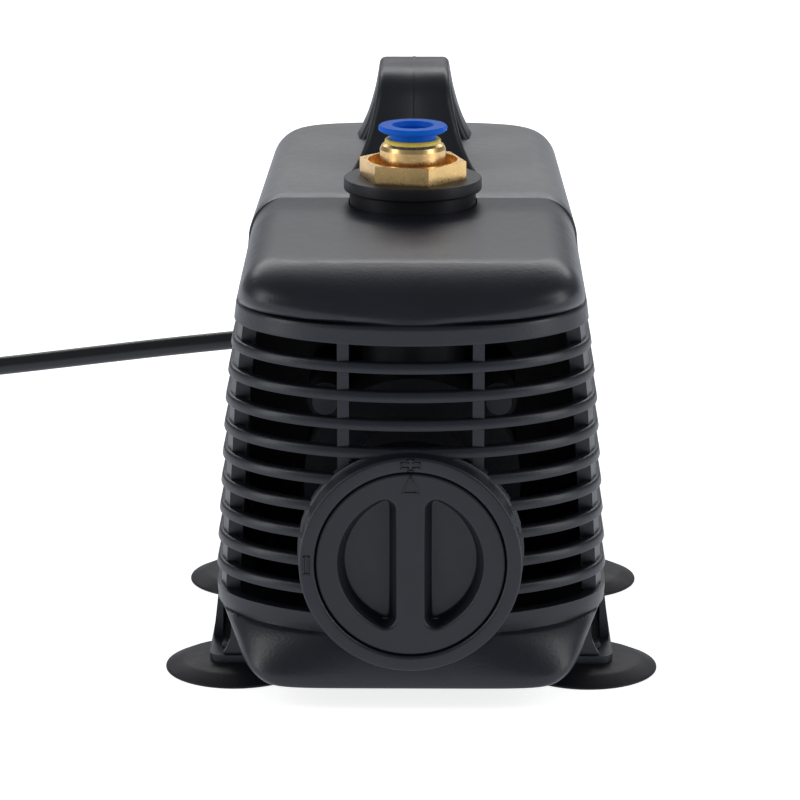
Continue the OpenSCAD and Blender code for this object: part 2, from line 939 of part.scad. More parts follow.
// Round knob with two finger recesses either side of an upright bar
module flow_knob() {
    color("#222428")
    difference() {
        union() {
            y_rod(knob_r, knob_front_y, knob_back_y);
            along_y(knob_front_y - mark_h, knob_front_y + 0.1)
                translate([0, axis_z + 17.4])
                    difference() {
                        polygon([[-1.8, -2], [1.8, -2], [0, 2.1]]);
                        polygon([[-1.2, -1.6], [1.2, -1.6], [0, 1.1]]);
                    }
        }
        along_y(knob_front_y - 1, knob_front_y + recess_depth)
            translate([0, axis_z])
                for (side = [0, 1]) {
                    mirror([side, 0]) finger_recess();
                }
        y_rod(stem_r, stem_front_y, knob_back_y + 1);
    }
}

module valve_stem() {
    color("#26282c")
    y_rod(stem_r, stem_front_y, cover_front_y - seam_gap);
}

module knob_clip() {
    color("silver")
    y_rod_ring(stem_r, 5.5, ring_floor_y + 0.1, ring_floor_y + 1.1);
}

module intake_shutter() {
    back_y = cover_front_y - seam_gap;
    color("#26282c")
    difference() {
        union() {
            y_rod(window_out_r + 1.5, back_y - 1.8, back_y);
            y_rod(window_in_r - 0.5, back_y - 5, back_y - 1);
        }
        along_y(back_y - 3, back_y + 1)
            translate([0, axis_z]) valve_windows();
        y_rod(stem_r, back_y - 6, back_y + 1);
    }
}

// Places the child on the curved part of the cable, with its bend in the tilted plane
module at_cable_bend() {
    translate([cable_x, bend_y, cable_z])
        rotate([0, -cable_dip, 0])
            translate([-bend_r, 0, 0])
                children();
}

module power_cable() {
    color("#1d1e20")
    union() {
        y_rod(cable_r, well_end_y, bend_y, cable_x, cable_z);
        at_cable_bend() {
            rotate_extrude(angle = 90)
                translate([bend_r, 0]) circle(r = cable_r);
            translate([0, bend_r, 0])
                rotate([0, -90, 0])
                    cylinder(r = cable_r, h = cable_run);
        }
    }
}

// Moulded gland with a tapering boot that keeps the cable from kinking
module cable_gland() {
    seat_y = tail_len - gland_seat;
    color("#17181a")
    difference() {
        union() {
            y_rod(4.95, tail_len - wall - pad_h - 3, seat_y + 0.5, cable_x, cable_z);
            translate([cable_x, seat_y, cable_z])
                rotate([-90, 0, 0])
                    rotate_extrude()
                        polygon([[0, 0], [7.2, 0], [7.2, 2.2], [4.4, 2.8], [3.4, 5.4], [0, 5.4]]);
        }
        y_rod(cable_r, tail_len - wall - 6, tail_len + 7, cable_x, cable_z);
    }
}

module gland_nut() {
    pad_y = tail_len - wall - pad_h;
    color("#3c3f44")
    difference() {
        translate([cable_x, pad_y - 2.6, cable_z])
            rotate([-90, 0, 0])
                cylinder(r = 7.5, h = 2.5, $fn = 6);
        y_rod(4.95, pad_y - 4, pad_y + 1, cable_x, cable_z);
    }
}

module cable_cores() {
    core_r = 0.8;
    for (i = [0:2]) {
        color(["saddlebrown", "royalblue", "yellowgreen"][i])
        at_cable_bend()
            translate([-cable_run, bend_r, 0])
                rotate([0, -90, 0])
                    rotate([0, 0, 120 * i])
                        translate([1.1, 0, 0]) cylinder(r = core_r, h = 7);
    }
}

rear_shell();
carry_handle();
handle_screws();
base_frame();
base_screws();
suction_cup(-front_cup_x, -front_cup_y);  // suction_cup_front_left
suction_cup(front_cup_x, -front_cup_y);  // suction_cup_front_right
suction_cup(-rear_cup_x, rear_cup_y);  // suction_cup_rear_left
suction_cup(rear_cup_x, rear_cup_y);  // suction_cup_rear_right
rest_strip();
motor_case();
stator_core();
coil_bobbins();
coil_windings();
potting_compound();
rotor_shaft();
shaft_bush(front_bush_y, front_bush_y + bush_len, front_bush_y + 1.5, front_bush_y + bush_len + 1);  // front_shaft_bush
shaft_bush(rear_bush_y, rear_bush_y + bush_len, rear_bush_y - 1, rear_bush_y + 3);  // rear_shaft_bush
rotor_magnet();
rotor_sleeve();
impeller();
volute_housing();
volute_cover();
volute_seal();
volute_screws();
fitting_body();
fitting_trim_ring();
fitting_claw();
fitting_o_ring();
release_collar();
front_cage();
flow_knob();
valve_stem();
knob_clip();
intake_shutter();
power_cable();
cable_gland();
gland_nut();
cable_cores();
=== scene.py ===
import json
import math

import bmesh
import bpy
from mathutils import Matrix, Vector


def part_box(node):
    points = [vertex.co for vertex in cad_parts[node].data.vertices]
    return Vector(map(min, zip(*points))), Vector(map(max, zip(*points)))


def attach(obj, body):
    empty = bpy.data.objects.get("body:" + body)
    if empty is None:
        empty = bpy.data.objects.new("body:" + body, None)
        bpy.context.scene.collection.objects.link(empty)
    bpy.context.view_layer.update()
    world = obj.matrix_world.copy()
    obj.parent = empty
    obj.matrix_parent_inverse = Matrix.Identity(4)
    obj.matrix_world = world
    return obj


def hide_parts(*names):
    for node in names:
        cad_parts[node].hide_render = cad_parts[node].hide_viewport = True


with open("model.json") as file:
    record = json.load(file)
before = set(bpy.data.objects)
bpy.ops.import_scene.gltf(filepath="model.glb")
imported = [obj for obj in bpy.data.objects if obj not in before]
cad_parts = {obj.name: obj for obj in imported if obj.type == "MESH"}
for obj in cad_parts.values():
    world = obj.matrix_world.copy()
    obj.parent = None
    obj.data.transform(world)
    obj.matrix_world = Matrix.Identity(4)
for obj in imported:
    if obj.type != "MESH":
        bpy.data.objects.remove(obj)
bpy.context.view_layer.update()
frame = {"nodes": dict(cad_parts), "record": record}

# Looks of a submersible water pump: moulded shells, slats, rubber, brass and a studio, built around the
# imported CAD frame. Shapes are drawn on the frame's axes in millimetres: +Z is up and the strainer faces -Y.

MM = 0.001
ROOT = "pump_body"


# ---------------------------------------------------------------- small maths

def lerp(a, b, t):
    return a + (b - a) * t


def smooth(t):
    """Smoothstep of t clamped to 0..1."""
    t = max(0.0, min(1.0, t))
    return t * t * (3 - 2 * t)


def signed_power(value, power):
    return math.copysign(abs(value) ** power, value)


def angles(steps):
    """Equal steps round a full turn."""
    return [2 * math.pi * k / steps for k in range(steps)]


def circle(r, steps):
    return [(r * math.cos(a), r * math.sin(a)) for a in angles(steps)]


def interp(x, table):
    """Straight-line lookup in a table of (x, value, value...) rows that rise in x."""
    if x <= table[0][0]:
        return table[0][1:]
    for low, high in zip(table, table[1:]):
        if x <= high[0]:
            t = (x - low[0]) / (high[0] - low[0])
            return tuple(lerp(a, b, t) for a, b in zip(low[1:], high[1:]))
    return table[-1][1:]


def catmull(points, steps):
    """Smooth curve through points of any dimension."""
    out = []
    last = len(points) - 1
    for i in range(last):
        p0, p1, p2, p3 = points[max(i - 1, 0)], points[i], points[i + 1], points[min(i + 2, last)]
        for k in range(steps):
            t = k / steps
            out.append(tuple(
                0.5 * (2 * b + (c - a) * t + (2 * a - 5 * b + 4 * c - d) * t * t
                       + (3 * b - a - 3 * c + d) * t ** 3)
                for a, b, c, d in zip(p0, p1, p2, p3)))
    out.append(tuple(points[-1]))
    return out


def rounded(profile, radius, steps=4):
    """Rounds the inner corners of an open (radius, height) profile."""
    out = [profile[0]]
    for before, here, after in zip(profile, profile[1:], profile[2:]):
        p, a, b = Vector(here), Vector(before), Vector(after)
        reach = min(radius, (a - p).length * 0.45, (b - p).length * 0.45)
        start, end = p + (a - p).normalized() * reach, p + (b - p).normalized() * reach
        for k in range(steps + 1):
            t = k / steps
            q = start * (1 - t) ** 2 + p * 2 * t * (1 - t) + end * t * t
            out.append((q.x, q.y))
    out.append(profile[-1])
    return out


# ---------------------------------------------------------------- mesh helpers

def make_object(name, bm, smooth_angle=40):
    """Turns a bmesh drawn in millimetres into an object in metres, shaded smooth."""
    bmesh.ops.remove_doubles(bm, verts=bm.verts, dist=0.002)
    bmesh.ops.dissolve_degenerate(bm, edges=bm.edges, dist=0.001)
    bmesh.ops.recalc_face_normals(bm, faces=bm.faces)
    bmesh.ops.scale(bm, vec=(MM, MM, MM), verts=bm.verts)
    mesh = bpy.data.meshes.new(name)
    bm.to_mesh(mesh)
    bm.free()
    obj = bpy.data.objects.new(name, mesh)
    bpy.context.collection.objects.link(obj)
    mesh.shade_smooth()
    mesh.set_sharp_from_angle(angle=math.radians(smooth_angle))
    return obj


def add_grid(bm, rows, closed=False):
    """Quads between rows of points. Each row has the same length; closed joins each row's ends."""
    verts = [[bm.verts.new(p) for p in row] for row in rows]
    width = len(rows[0])
    for low, high in zip(verts, verts[1:]):
        for i in range(width if closed else width - 1):
            j = (i + 1) % width
            bm.faces.new((low[i], low[j], high[j], high[i]))
    return verts


def add_tube(bm, rows, caps=True):
    """Closed rings joined into a tube, with its ends capped."""
    verts = add_grid(bm, rows, closed=True)
    if caps:
        bm.faces.new(list(reversed(verts[0])))
        bm.faces.new(verts[-1])


def add_revolved(bm, profile, centre, axis="Z", steps=96):
    """Turns (radius, height) points about a vertical or a Y axis through centre."""
    cx, cy, cz = centre
    rows = []
    for r, h in profile:
        if axis == "Z":
            rows.append([(cx + u, cy + v, cz + h) for u, v in circle(r, steps)])
        else:
            rows.append([(cx + u, cy + h, cz + v) for u, v in circle(r, steps)])
    add_grid(bm, rows, closed=True)


def bake(obj):
    """Applies the object's modifiers to its mesh."""
    graph = bpy.context.evaluated_depsgraph_get()
    mesh = bpy.data.meshes.new_from_object(obj.evaluated_get(graph))
    obj.modifiers.clear()
    obj.data = mesh


def add_bevel(obj, width_mm, segments, angle):
    mod = obj.modifiers.new("edge", "BEVEL")
    mod.width = width_mm * MM
    mod.segments = segments
    mod.limit_method = "ANGLE"
    mod.angle_limit = math.radians(angle)
    mod.harden_normals = False


def thicken(obj, thickness_mm):
    """Gives a skin its wall, inwards."""
    mod = obj.modifiers.new("wall", "SOLIDIFY")
    mod.thickness = thickness_mm * MM
    mod.offset = -1
    mod.use_even_offset = False
    bake(obj)


def cut(obj, cutter):
    """Cuts one object out of another and deletes the cutter."""
    mod = obj.modifiers.new("cut", "BOOLEAN")
    mod.operation = "DIFFERENCE"
    mod.solver = "EXACT"
    mod.object = cutter
    bake(obj)
    bpy.data.objects.remove(cutter)


def join(main, extra):
    """Adds the meshes of other objects to main and deletes them."""
    bm = bmesh.new()
    bm.from_mesh(main.data)
    for other in extra:
        bm.from_mesh(other.data)
        bpy.data.objects.remove(other)
    bm.to_mesh(main.data)
    bm.free()


# ---------------------------------------------------------------- materials

def tree_of(name):
    material = bpy.data.materials.new(name)
    material.use_nodes = True
    return material, material.node_tree.nodes, material.node_tree.links


def noise(nodes, links, coords, scale, detail=3.0, rough=0.55):
    node = nodes.new("ShaderNodeTexNoise")
    node.inputs["Scale"].default_value = scale
    node.inputs["Detail"].default_value = detail
    node.inputs["Roughness"].default_value = rough
    links.new(coords, node.inputs["Vector"])
    return node.outputs["Fac"]


def mapped(nodes, links, value, low, high):
    """Spreads noise, which lies mostly between 0.3 and 0.7, over low..high."""
    node = nodes.new("ShaderNodeMapRange")
    node.inputs["From Min"].default_value = 0.3
    node.inputs["From Max"].default_value = 0.7
    node.inputs["To Min"].default_value = low
    node.inputs["To Max"].default_value = high
    links.new(value, node.inputs["Value"])
    return node.outputs["Result"]


def surface(name, color, rough, grain=1500.0, depth=0.02, metallic=0.0, vary=0.18,
            rough_vary=0.03, blotch=45.0, gloss=0.5, sheen=0.0, stretch=(1, 1, 1)):
    """Procedural finish: two tints of the colour, uneven roughness and a fine grain of a depth in mm."""
    material, nodes, links = tree_of(name)
    shader = nodes["Principled BSDF"]
    coords = nodes.new("ShaderNodeTexCoord").outputs["Object"]
    mapping = nodes.new("ShaderNodeMapping")
    mapping.inputs["Scale"].default_value = stretch
    links.new(coords, mapping.inputs["Vector"])
    point = mapping.outputs["Vector"]
    mix = nodes.new("ShaderNodeMix")
    mix.data_type = "RGBA"
    links.new(mapped(nodes, links, noise(nodes, links, point, blotch), 0, 1), mix.inputs["Factor"])
    mix.inputs["A"].default_value = [c * (1 - vary) for c in color] + [1]
    mix.inputs["B"].default_value = [min(1, c * (1 + vary)) for c in color] + [1]
    links.new(mix.outputs["Result"], shader.inputs["Base Color"])
    uneven = noise(nodes, links, point, blotch * 6, 4)
    uneven_rough = mapped(nodes, links, uneven, rough - rough_vary, rough + rough_vary)
    links.new(uneven_rough, shader.inputs["Roughness"])
    bump = nodes.new("ShaderNodeBump")
    bump.inputs["Distance"].default_value = depth * MM
    bump.inputs["Strength"].default_value = 1.0
    links.new(noise(nodes, links, point, grain, 2.5, 0.6), bump.inputs["Height"])
    links.new(bump.outputs["Normal"], shader.inputs["Normal"])
    shader.inputs["Metallic"].default_value = metallic
    shader.inputs["Specular IOR Level"].default_value = gloss
    shader.inputs["Sheen Weight"].default_value = sheen
    shader.inputs["Sheen Roughness"].default_value = 0.35
    return material


# The laminations and the windings are striped: a grain of 1 is stretched on one axis.
LOOKS = {
    "shell_plastic": surface("shell plastic", (0.016, 0.017, 0.022), 0.40, grain=1200, depth=0.09, vary=0.10,
                             gloss=0.8, sheen=0.35),
    "cage_plastic": surface("cage plastic", (0.010, 0.011, 0.017), 0.36, grain=1300, depth=0.045, vary=0.12),
    "inner_plastic": surface("inner plastic", (0.014, 0.014, 0.017), 0.45, grain=2000, gloss=0.3),
    "knob_plastic": surface("knob plastic", (0.010, 0.011, 0.016), 0.40, grain=1600, depth=0.03, vary=0.12),
    "soft_rubber": surface("soft rubber", (0.009, 0.009, 0.012), 0.50, grain=900, depth=0.04, vary=0.25,
                           gloss=0.28),
    "steel": surface("screw steel", (0.60, 0.60, 0.62), 0.32, grain=1200, depth=0.01, metallic=1.0),
    # The screws inside the pump get a darker copy of steel: painted shade for where they sit behind the
    # slots.
    "dark_steel": surface("steel darkened as painted shade", (0.10, 0.10, 0.11), 0.38, grain=1200, depth=0.01, metallic=0.9),
    "core_steel": surface("lamination steel", (0.33, 0.34, 0.36), 0.45, grain=1.0, depth=0.03,
                          metallic=1.0, stretch=(0, 2500, 0)),
    "copper_wire": surface("copper wire", (0.62, 0.26, 0.12), 0.35, grain=1.0, depth=0.1,
                           metallic=0.9, stretch=(60, 60, 1400)),
    "potting_resin": surface("potting resin", (0.03, 0.026, 0.024), 0.25, grain=300, depth=0.03),
    "white_plastic": surface("white plastic", (0.74, 0.73, 0.70), 0.38, grain=1800, depth=0.01, vary=0.05),
    "ceramic": surface("ceramic", (0.86, 0.85, 0.80), 0.22, grain=2600, depth=0.004, vary=0.05),
    "ferrite": surface("ferrite", (0.07, 0.07, 0.075), 0.5, grain=1800, metallic=0.4),
    "brass": surface("brass", (0.87, 0.585, 0.25), 0.30, grain=1100, depth=0.006, metallic=1.0,
                     vary=0.10, rough_vary=0.06, blotch=180),
    "yellow_plastic": surface("yellow plastic", (0.86, 0.66, 0.08), 0.32, depth=0.008, vary=0.06),
    "blue_plastic": surface("blue plastic", (0.002, 0.15, 0.80), 0.5, grain=1200, depth=0.01, vary=0.06,
                            gloss=0.12),
    "cable_rubber": surface("cable rubber", (0.010, 0.010, 0.011), 0.34, grain=1600, depth=0.012, vary=0.2),
    "core_insulation": surface("core insulation", (0.32, 0.15, 0.06), 0.4, depth=0.01),
}


def dress(obj, slot):
    obj.data.materials.clear()
    obj.data.materials.append(LOOKS[slot])


def place(obj, slot, body, node):
    """Gives a built piece its finish, its body and the CAD node that it stands for."""
    dress(obj, slot)
    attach(obj, body)
    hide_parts(node)


# ---------------------------------------------------------------- sizes of the body

def corners(node):
    """Lowest and highest corner of a CAD node, in millimetres."""
    low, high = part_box(node)
    return [v / MM for v in low], [v / MM for v in high]


BELLY, SEAM_Y, DECK_Z = corners("front_cage")[1]
TAIL = corners("rear_shell")[1][1]
KNOB_LOW, KNOB_HIGH = corners("flow_knob")
AXIS_Z = (KNOB_LOW[2] + KNOB_HIGH[2]) / 2
WALL = 2.5

# Half width just under the rounded top, its height, and the roll of the sides into the deck
SHOULDER = BELLY - 4.8
SHOULDER_Z = 81.7
SIDE_ROUND = 8.0

# Nose of the cage: its distance from the outlet axis, and the depth and power of its curve
NOSE = 75.0
NOSE_DEPTH = 26.5
NOSE_POWER = 2.0
DECK_NOSE_DEPTH = 12.0
DECK_NOSE_POWER = 4.5
CREASE_Z = 15.6

# Dome of the cage: the ledge at its foot, and the front roll, which stops short of level
SIDE_LEDGE = 0.4
FRONT_LEDGE = 1.4
FRONT_ROUND = 13.5
FRONT_ROLL_END = 66

# Motor shell: its gap to the cage and the shape of its tail
SEAM_GAP = 0.15
TAIL_DEPTH = 12.0
TAIL_POWER = 3.0
TAIL_TAPER = 0.95
TAIL_ROUND = 1.8

# Slots of the cage
SLOT_REAR_Y = -12.0
SLOT_H = 3.75
SLOT_PITCH = 6.03
SLOT_ROWS = 10
SLOT_TOP_Z = 77.9
SLOT_BOTTOM_Z = SLOT_TOP_Z - SLOT_H - SLOT_PITCH * (SLOT_ROWS - 1)

# Ring round the knob
RING_R = 23.0
RING_BORE_R = 19.8
RING_FRONT_Y = -79.0

# Outlet neck and its hole in the deck
NECK_R = 14.0
NECK_HOLE_R = 14.3

# A flat face closes on the middle line in rows, each a share of the full half width
DECK_SHARES = [1 - k / 6 for k in range(1, 7)]
FLOOR_SHARES = [0, 0.25, 0.5, 0.75, 0.93]
CLOSING = 0.9

# height, half width, distance to the nose, depth of the nose, power of its curve: 2 is an ellipse
CHIN = [
    (4.7, BELLY - 12.1, NOSE + 0.9, 13.0, 7.0), (5.0, BELLY - 10.7, NOSE + 1.5, 13.5, 6.5),
    (6.0, BELLY - 8.9, NOSE + 1.9, 14.5, 5.6), (7.5, BELLY - 7.1, NOSE + 2.0, 16.0, 4.8),
    (9.5, BELLY - 5.5, NOSE + 1.8, 18.5, 4.0), (12.0, BELLY - 4.0, NOSE + 1.4, 21.5, 3.2),
    (CREASE_Z - 0.2, BELLY - 1.6, NOSE + 0.8, NOSE_DEPTH - 0.6, 2.35),
]
CREASE = [
    (CREASE_Z, BELLY - 1.4, NOSE + 0.7, NOSE_DEPTH - 0.5, 2.3),
    (CREASE_Z + 0.35, BELLY - 0.9, NOSE + 0.5, NOSE_DEPTH, NOSE_POWER),
    (CREASE_Z + 0.8, BELLY - 0.4, NOSE + 0.15, NOSE_DEPTH, NOSE_POWER),
]
# height, how far the side has come in from the belly
LEAN = [(21.0, 0), (31.0, 0.5), (42.0, 1.2), (63.0, 2.5), (SHOULDER_Z, BELLY - SHOULDER)]
CAGE_SIDES = catmull(CHIN, 3) + CREASE + [(z, BELLY - lean, NOSE, NOSE_DEPTH, NOSE_POWER) for z, lean in LEAN]

# height, half width, distance to the tail
SHELL_SIDES = catmull([
    (4.6, BELLY - 12.1, TAIL - 4.0), (5.5, BELLY - 9.6, TAIL - 2.0), (7.6, BELLY - 6.9, TAIL - 1.0),
    (13.6, BELLY - 3.4, TAIL - 0.1), (21.0, BELLY - 0.8, TAIL),
], 3) + [(42.0, BELLY - 1.5, TAIL), (63.0, BELLY - 2.7, TAIL), (SHOULDER_Z + 1, SHOULDER, TAIL)]


def closing_rows(outline, shares, z, half_w, length, *shape):
    """Rows of a flat deck or underside. They draw in lengthwise too, by CLOSING of what the width loses."""
    return [outline(z, half_w * share, length - half_w * CLOSING * (1 - share), *shape) for share in shares]


def neck_cutter(outline):
    """Upright cutter for the outlet neck, through the deck."""
    bm = bmesh.new()
    add_tube(bm, [[(x, y, z) for x, y in outline] for z in (SHOULDER_Z - 5, DECK_Z + 5)])
    return make_object("neck_cutter", bm)


# ---------------------------------------------------------------- strainer cage

def cage_outline(z, half_w, length, depth=NOSE_DEPTH, power=NOSE_POWER, rear=SEAM_Y):
    """From the left rear round the nose to the right rear."""
    straight_y = depth - length
    side = [rear, SLOT_REAR_Y] + [lerp(SLOT_REAR_Y, straight_y, k / 6) for k in range(1, 6)]
    nose = []
    steps = 64
    for k in range(steps + 1):
        a = math.pi * k / steps
        nose.append((-half_w * signed_power(math.cos(a), 2 / power),
                     straight_y - depth * math.sin(a) ** (2 / power), z))
    return [(-half_w, y, z) for y in side] + nose + [(half_w, y, z) for y in reversed(side)]


def cage_dome():
    """Rows from the ledge to the deck: the sides roll softly into it, the front meets it at a firm edge."""
    half_w, length, low_z = SHOULDER - SIDE_LEDGE, NOSE - FRONT_LEDGE, SHOULDER_Z + 0.3
    end = math.radians(FRONT_ROLL_END)
    rows = []
    steps = 18
    for k in range(steps + 1):
        side_t = math.pi / 2 * k / steps
        rise = math.sin(side_t)
        front_t = math.asin(rise * math.sin(end))
        side_in = 1 - math.cos(side_t)
        front_in = (1 - math.cos(front_t)) / (1 - math.cos(end))
        rows.append(cage_outline(
            lerp(low_z, DECK_Z, rise), half_w - SIDE_ROUND * side_in, length - FRONT_ROUND * front_in,
            lerp(NOSE_DEPTH, DECK_NOSE_DEPTH, rise), lerp(NOSE_POWER, DECK_NOSE_POWER, math.sqrt(rise))))
    return rows + closing_rows(cage_outline, DECK_SHARES, DECK_Z, half_w - SIDE_ROUND, length - FRONT_ROUND,
                               DECK_NOSE_DEPTH, DECK_NOSE_POWER)


def cage_skin():
    """Dome, chin and rear bands of the strainer cage as one welded skin."""
    bm = bmesh.new()
    low, high = SLOT_BOTTOM_Z, SLOT_TOP_Z
    chin = [row for row in CAGE_SIDES if row[0] < low - 0.3]
    chin += [(z, *interp(z, CAGE_SIDES)) for z in (low - 0.3, low)]
    add_grid(bm, closing_rows(cage_outline, FLOOR_SHARES, *chin[0]) + [cage_outline(*row) for row in chin])
    band = [cage_outline(z, *interp(z, CAGE_SIDES)[:2])
            for z in (high, high + 0.4, SHOULDER_Z - 0.9, SHOULDER_Z - 0.4)]
    ledge = [cage_outline(SHOULDER_Z + rise, SHOULDER - SIDE_LEDGE * share, NOSE - FRONT_LEDGE * share)
             for share, rise in ((0.1, -0.1), (0.35, 0.1), (0.7, 0.15))]
    add_grid(bm, band + ledge + cage_dome())
    heights = [lerp(low, high, k / 24) for k in range(25)]
    for side in (-1, 1):
        add_grid(bm, [[(side * interp(z, CAGE_SIDES)[0], y, z) for y in (SEAM_Y, SLOT_REAR_Y)]
                      for z in heights])
    skin = make_object("strainer_cage", bm)
    thicken(skin, WALL)
    past_seam = 12
    front_half = circle(NECK_HOLE_R, 96)[48:] + [(NECK_HOLE_R, 0)]
    cut(skin, neck_cutter(front_half + [(NECK_HOLE_R, past_seam), (-NECK_HOLE_R, past_seam)]))
    add_bevel(skin, 0.35, 2, 50)
    bake(skin)
    return skin


def slat_section(path, k, z, height, depth):
    """Rounded slat section at one point of a path, standing inwards from it."""
    here = Vector(path[k][:2])
    ahead = Vector(path[min(k + 1, len(path) - 1)][:2]) - Vector(path[max(k - 1, 0)][:2])
    inward = Vector((-ahead.y, ahead.x)).normalized()
    if inward.dot(Vector((0, -20)) - here) < 0:
        inward.negate()
    edge, corner, lean = 0.55, 0.16, 0.35
    points = [
        (edge, 0), (depth - edge, 0), (depth, edge), (depth, height - edge), (depth - edge, height),
        (edge, height), (corner, height - corner), (0, height - edge), (0, edge), (corner, corner),
    ]
    row = []
    for d, h in points:
        at = here + inward * (d + lean * (h / height - 0.5))
        row.append((at.x, at.y, z + h))
    return row


def slats(bm):
    """The slats between the slots. Those that meet the knob ring stop inside it."""
    height = SLOT_PITCH - SLOT_H
    stop_r = RING_R - 1.5
    for i in range(SLOT_ROWS - 1):
        z = SLOT_TOP_Z - SLOT_H - SLOT_PITCH * i - height
        half_w, length = interp(z + height / 2, CAGE_SIDES)[:2]
        path = cage_outline(z, half_w, length, rear=SLOT_REAR_Y + 1.5)
        runs = [path]
        off_axis = z + height / 2 - AXIS_Z
        if abs(off_axis) < stop_r:
            stop_x = math.sqrt(stop_r ** 2 - off_axis ** 2)
            runs = [[p for p in path if p[0] <= -stop_x], [p for p in path if p[0] >= stop_x]]
        for run in runs:
            add_tube(bm, [slat_section(run, k, z, height, WALL) for k in range(len(run))])


def posts(bm):
    """Upright bars just behind the slats: one in the nose and three along the side, on the left and right."""
    half, behind = 1.2, 0.9
    front_x, front_deep, side_deep = 13.9, 4, 3
    rear_y = SLOT_REAR_Y - 1
    side_spans = [(-55.4, -51.0), (-33.0 - half, -33.0 + half), (rear_y - half, rear_y + half)]
    levels = []
    for k in range(25):
        z = lerp(CREASE_Z, SHOULDER_Z, k / 24)
        levels.append((z, *interp(z, CAGE_SIDES)[:2]))
    for side in (-1, 1):
        rows = []
        for z, half_w, length in levels:
            share = front_x / (half_w - behind)
            y = NOSE_DEPTH - length - NOSE_DEPTH * math.sqrt(1 - share ** 2) + behind
            rows.append([(side * (front_x - half), y, z), (side * (front_x + half), y, z),
                         (side * (front_x + half), y + front_deep, z),
                         (side * (front_x - half), y + front_deep, z)])
        add_tube(bm, rows)
        for span in side_spans:
            rows = []
            for z, half_w, length in levels:
                shares = [max(0.0, NOSE_DEPTH - length - y) / NOSE_DEPTH for y in span]
                outer = [(half_w * math.sqrt(1 - share ** 2) - behind, y) for share, y in zip(shares, span)]
                inner = [(x - side_deep, y) for x, y in reversed(outer)]
                rows.append([(side * x, y, z) for x, y in outer + inner])
            add_tube(bm, rows)


def ring_web(bm):
    """Band of the cage skin round the ring, where the slots stop."""
    section = [(RING_R - 1, 0.02), (RING_R + 0.4, 0.02), (RING_R + 0.6, 0.25), (RING_R + 0.6, WALL),
               (RING_R - 1, WALL)]
    rows = []
    for a in angles(160) + [2 * math.pi]:
        row = []
        for r, back in section:
            x, z = r * math.cos(a), AXIS_Z + r * math.sin(a)
            half_w, length, depth, power = interp(z, CAGE_SIDES)
            share = (1 - abs(x / half_w) ** power) ** (1 / power)
            row.append((x, depth - length - depth * share + back, z))
        rows.append(row)
    add_tube(bm, rows, caps=False)


def knob_ring(bm):
    """Ring that the knob sits in, with a floor bored for the valve stem."""
    floor, back, stem_hole_r = 10, 12.5, 3.05
    profile = rounded([
        (RING_R, back), (RING_R, 0), (RING_BORE_R, 0), (RING_BORE_R, floor), (stem_hole_r, floor),
        (stem_hole_r, back), (RING_R, back)
    ], 0.7)
    add_revolved(bm, profile, (0, RING_FRONT_Y, AXIS_Z), axis="Y", steps=160)


def raised_line(bm, start, end, front_y):
    """Thin raised line on a face that looks to -Y, between two (x, z) points."""
    width, height = 0.36, 0.3
    a, b = Vector(start), Vector(end)
    along = (b - a).normalized() * width / 2
    side = Vector((-along.y, along.x))
    rows = []
    for y, share in ((front_y + 0.2, 1.0), (front_y - height * 0.5, 1.0), (front_y - height, 0.5)):
        u, v = along * share, side * share
        rows.append([(p.x, y, p.y) for p in (a - u - v, b + u - v, b + u + v, a - u + v)])
    add_tube(bm, rows)


def raised_outline(bm, centre, points, front_y):
    """Closed raised line through points given from a centre."""
    at = [(centre[0] + x, centre[1] + z) for x, z in points]
    for start, end in zip(at, at[1:] + at[:1]):
        raised_line(bm, start, end, front_y)


def flow_marks(bm):
    """Outlined plus at the top of the ring for more flow, and minus at its left for less."""
    mid = (RING_R + RING_BORE_R) / 2
    arm, tall, half = 1.87, 1.15, 0.53
    plus = [(-arm, -half), (-half, -half), (-half, -tall), (half, -tall), (half, -half), (arm, -half),
            (arm, half), (half, half), (half, tall), (-half, tall), (-half, half), (-arm, half)]
    minus = [(-half, -arm), (half, -arm), (half, arm), (-half, arm)]
    raised_outline(bm, (0, AXIS_Z + mid), plus, RING_FRONT_Y)
    raised_outline(bm, (-mid, AXIS_Z), minus, RING_FRONT_Y)


def build_cage():
    cage = cage_skin()
    bm = bmesh.new()
    slats(bm)
    posts(bm)
    ring_web(bm)
    bars = make_object("slats", bm, 50)
    bm = bmesh.new()
    knob_ring(bm)
    flow_marks(bm)
    ring = make_object("ring", bm, 35)
    join(cage, [bars, ring])
    place(cage, "cage_plastic", "strainer", "front_cage")


# ---------------------------------------------------------------- motor shell

def shell_outline(z, half_w, length):
    """From the left seam back along the side, round the tail and forward to the right seam."""
    front, straight_y = SEAM_Y + SEAM_GAP, length - TAIL_DEPTH
    count, steps = 10, 48
    left = [(-half_w * lerp(1, TAIL_TAPER, k / count), lerp(front, straight_y, k / count), z)
            for k in range(count)]
    tail = []
    for k in range(steps + 1):
        a = math.pi * k / steps
        tail.append((-half_w * TAIL_TAPER * signed_power(math.cos(a), 2 / TAIL_POWER),
                     straight_y + TAIL_DEPTH * math.sin(a) ** (2 / TAIL_POWER), z))
    return left + tail + [(-x, y, z) for x, y, z in reversed(left)]


def shell_dome():
    """Rows from the shoulder to the deck, with a tighter roll at the tail than at the sides."""
    side_round = SIDE_ROUND + SIDE_LEDGE
    rows = []
    steps = 12
    for k in range(1, steps + 1):
        t = math.pi / 2 * k / steps
        fall = 1 - math.cos(t)
        rows.append(shell_outline(lerp(SHOULDER_Z + 1, DECK_Z, math.sin(t)), SHOULDER - side_round * fall,
                                  TAIL - TAIL_ROUND * fall))
    return rows + closing_rows(shell_outline, DECK_SHARES, DECK_Z, SHOULDER - side_round, TAIL - TAIL_ROUND)


